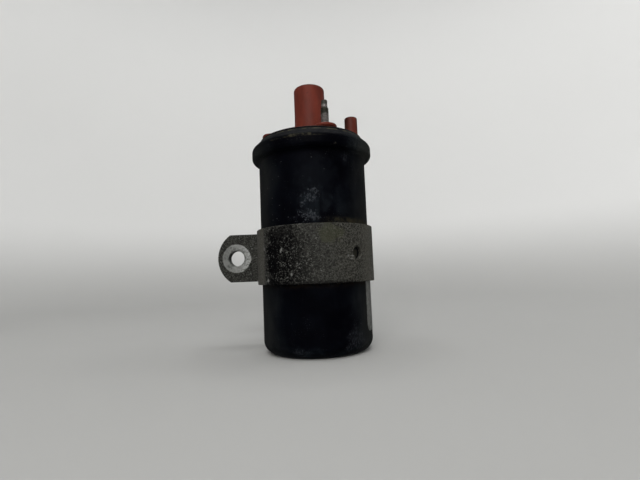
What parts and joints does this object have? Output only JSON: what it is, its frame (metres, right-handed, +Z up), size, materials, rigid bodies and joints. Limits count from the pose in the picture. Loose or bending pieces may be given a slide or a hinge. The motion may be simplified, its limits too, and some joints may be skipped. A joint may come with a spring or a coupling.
{
  "type": "ignition coil",
  "caption": "Canister ignition coil: black steel can, red-brown insulating cap with high-voltage tower and terminal studs, and a steel clamp band with a bolt ear.",
  "frame": {"origin": "centre of the flat bottom of the can", "axes": "+Z up along the can's axis towards the high-voltage tower; -X the way the clamp's ears point; -Y the side with the front terminal stud"},
  "size_m": [0.089, 0.063, 0.1394],
  "materials": {
    "can_paint": "satin black paint, scuffed and dusty",
    "band_steel": "dull zinc plate, darkened, grimy",
    "cap_phenolic": "moulded, slightly satin, dusty",
    "plug_plastic": "moulded, matt",
    "gasket_rubber": "matt",
    "stud_metal": "plated, tarnished",
    "contact_brass": "dull",
    "spring_steel": "drawn wire",
    "label_foil": "blank foil, worn and grey",
    "board": "pressed board, oil soaked",
    "porcelain": "glazed",
    "core_iron": "rolled silicon steel",
    "winding_paper": "oiled paper",
    "winding_copper": "enamelled copper wire"
  },
  "bodies": {
    "coil": {"can": "can_paint", "insulator_cap": "cap_phenolic", "cap_gasket": "gasket_rubber", "relief_plug": "plug_plastic", "ht_insert": "contact_brass", "ht_spring": "spring_steel", "front_stud": "stud_metal", "rear_stud": "stud_metal", "front_stud_seal": "board", "rear_stud_seal": "board", "front_solder_tag": "contact_brass", "rear_solder_tag": "contact_brass", "front_stud_nut": "contact_brass", "rear_stud_nut": "contact_brass", "foil_label": "label_foil", "base_pad": "board", "base_insulator": "porcelain", "core_laminations": "core_iron", "core_contact": "contact_brass", "secondary_bobbin": "winding_paper", "secondary_winding": "winding_copper", "winding_insulation": "winding_paper", "primary_winding": "winding_copper", "outer_insulation": "winding_paper", "inner_shield": "core_iron", "outer_shield": "core_iron", "winding_support": "board", "front_primary_lead": "winding_copper", "rear_primary_lead": "winding_copper", "secondary_lead": "winding_copper"},
    "clamp": {"clamp_band": "band_steel"}
  },
  "joints": [
    {"name": "clamp_slide", "type": "slide", "parent": "coil", "child": "clamp", "axis": [0, 0, 1], "range_m": [-0.028, 0.035]}
  ]
}
